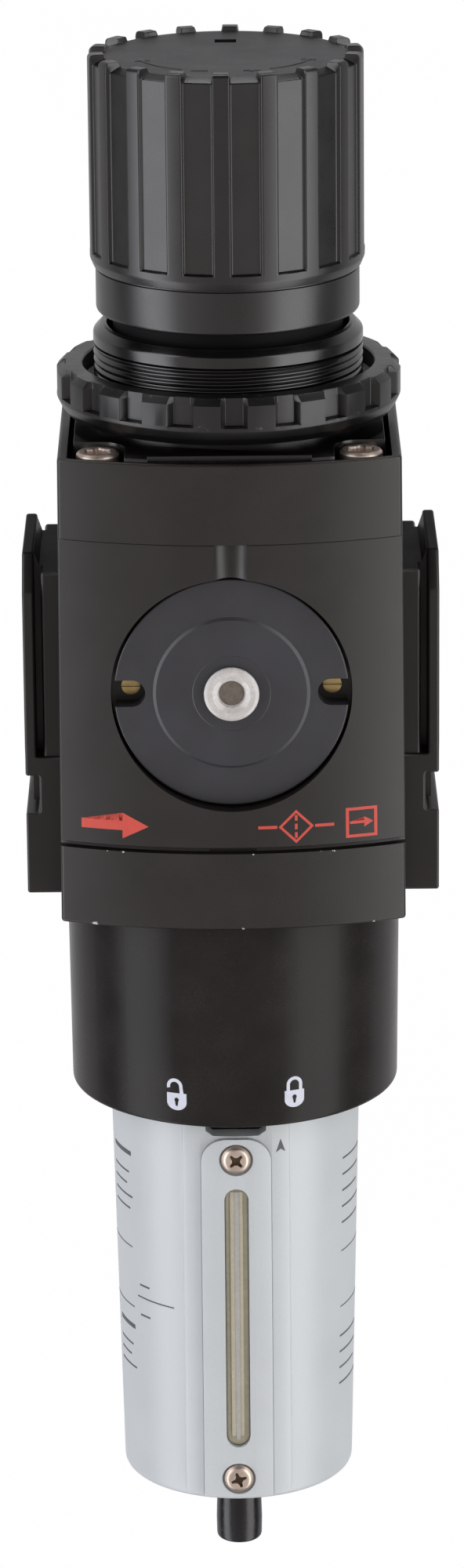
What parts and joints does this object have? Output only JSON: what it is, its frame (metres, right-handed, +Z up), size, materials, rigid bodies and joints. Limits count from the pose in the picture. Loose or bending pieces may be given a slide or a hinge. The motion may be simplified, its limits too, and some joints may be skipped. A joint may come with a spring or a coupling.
{
  "type": "filter regulator",
  "caption": "Combined compressed-air filter and pressure regulator: square body with side pipe ports, fluted adjusting knob, panel nut and a metal bayonet bowl with a sight window and drain.",
  "frame": {"origin": "where the straight pipe axis crosses the vertical axis of knob, valve and bowl", "axes": "+Z up along the knob and bowl axis, X along the pipe with the inlet at -X, front face towards -Y"},
  "size_m": [0.093, 0.084, 0.3571],
  "materials": {
    "cast_black": "satin black-brown paint on a die casting",
    "moulded_black": "satin black glass-filled nylon",
    "cover_grey": "fine-grained dark blue-grey plastic",
    "plug_white": "translucent white polyethylene",
    "bowl_silver": "silver paint with a fine orange peel",
    "nickel": "bright nickel plate",
    "brass": "turned brass",
    "zinc_steel": "bright zinc plate",
    "rubber": "black nitrile rubber",
    "inner_plastic": "off-white acetal",
    "sintered": "white sintered plastic",
    "sight_olive": "clear nylon, slightly olive",
    "gloss_black": "glossy black plastic"
  },
  "bodies": {
    "housing": {"body_casting": "cast_black", "front_face_plate": "cast_black", "rear_face_plate": "cast_black", "front_gauge_cover": "cover_grey", "rear_gauge_cover": "cover_grey", "front_port_plug": "plug_white", "rear_port_plug": "plug_white", "gauge_cover_screws": "brass", "bonnet": "cast_black", "bonnet_screws": "nickel", "diaphragm": "rubber", "valve_seat": "brass", "valve_guide": "moulded_black", "valve_guide_seal": "rubber", "valve_spring": "zinc_steel", "range_spring": "zinc_steel", "thrust_washer": "zinc_steel", "knob_detent_ring": "zinc_steel", "deflector": "inner_plastic", "element_gaskets": "rubber", "filter_element": "sintered", "element_baffle": "inner_plastic", "element_stud": "zinc_steel", "element_nut": "zinc_steel", "collar": "cast_black"},
    "adjuster": {"adjusting_screw": "zinc_steel", "screw_clip": "zinc_steel"},
    "knob": {"knob": "moulded_black"},
    "spring_seat": {"spring_seat_nut": "brass"},
    "valve_train": {"diaphragm_plate_upper": "zinc_steel", "diaphragm_plate_lower": "zinc_steel", "diaphragm_nut": "zinc_steel", "valve_stem": "zinc_steel", "poppet": "brass", "poppet_seal": "rubber"},
    "bowl_set": {"bowl": "bowl_silver", "bowl_seal_ring": "rubber", "sight_glass": "sight_olive", "sight_gasket": "rubber", "sight_cover": "bowl_silver", "sight_screws": "nickel", "drain_bush": "brass", "drain_bush_seal": "rubber"},
    "drain_cock": {"drain_knob": "gloss_black", "drain_stem": "brass"},
    "panel_nut": {"panel_nut": "moulded_black"}
  },
  "joints": [
    {"name": "knob_turn", "type": "hinge", "parent": "housing", "child": "adjuster", "pos_m": [0, 0, 0.095], "axis": [0, 0, 1], "range_deg": [-2880, 0]},
    {"name": "knob_lock", "type": "slide", "parent": "adjuster", "child": "knob", "axis": [0, 0, 1], "range_m": [-0.0025, 0]},
    {"name": "spring_seat_travel", "type": "slide", "parent": "housing", "child": "spring_seat", "axis": [0, 0, 1], "range_m": [-0.01201, 0], "deforming": ["range_spring"]},
    {"name": "valve_travel", "type": "slide", "parent": "housing", "child": "valve_train", "axis": [0, 0, 1], "range_m": [-0.002, 0], "stiffness_N_per_m": 3000, "springref_m": 0.003, "deforming": ["valve_spring", "diaphragm"]},
    {"name": "bowl_turn", "type": "hinge", "parent": "housing", "child": "bowl_set", "pos_m": [0, 0, -0.08], "axis": [0, 0, 1], "range_deg": [-43.5, 0]},
    {"name": "drain_turn", "type": "hinge", "parent": "bowl_set", "child": "drain_cock", "pos_m": [0, 0, -0.2], "axis": [0, 0, 1], "range_deg": [-90, 0]},
    {"name": "panel_nut_turn", "type": "hinge", "parent": "housing", "child": "panel_nut", "pos_m": [0, 0, 0.058], "axis": [0, 0, 1], "range_deg": [-520, 3400]}
  ],
  "couplings": [
    {"joint": "spring_seat_travel", "follows": "knob_turn", "m_per_rad": 0.00023873}
  ]
}
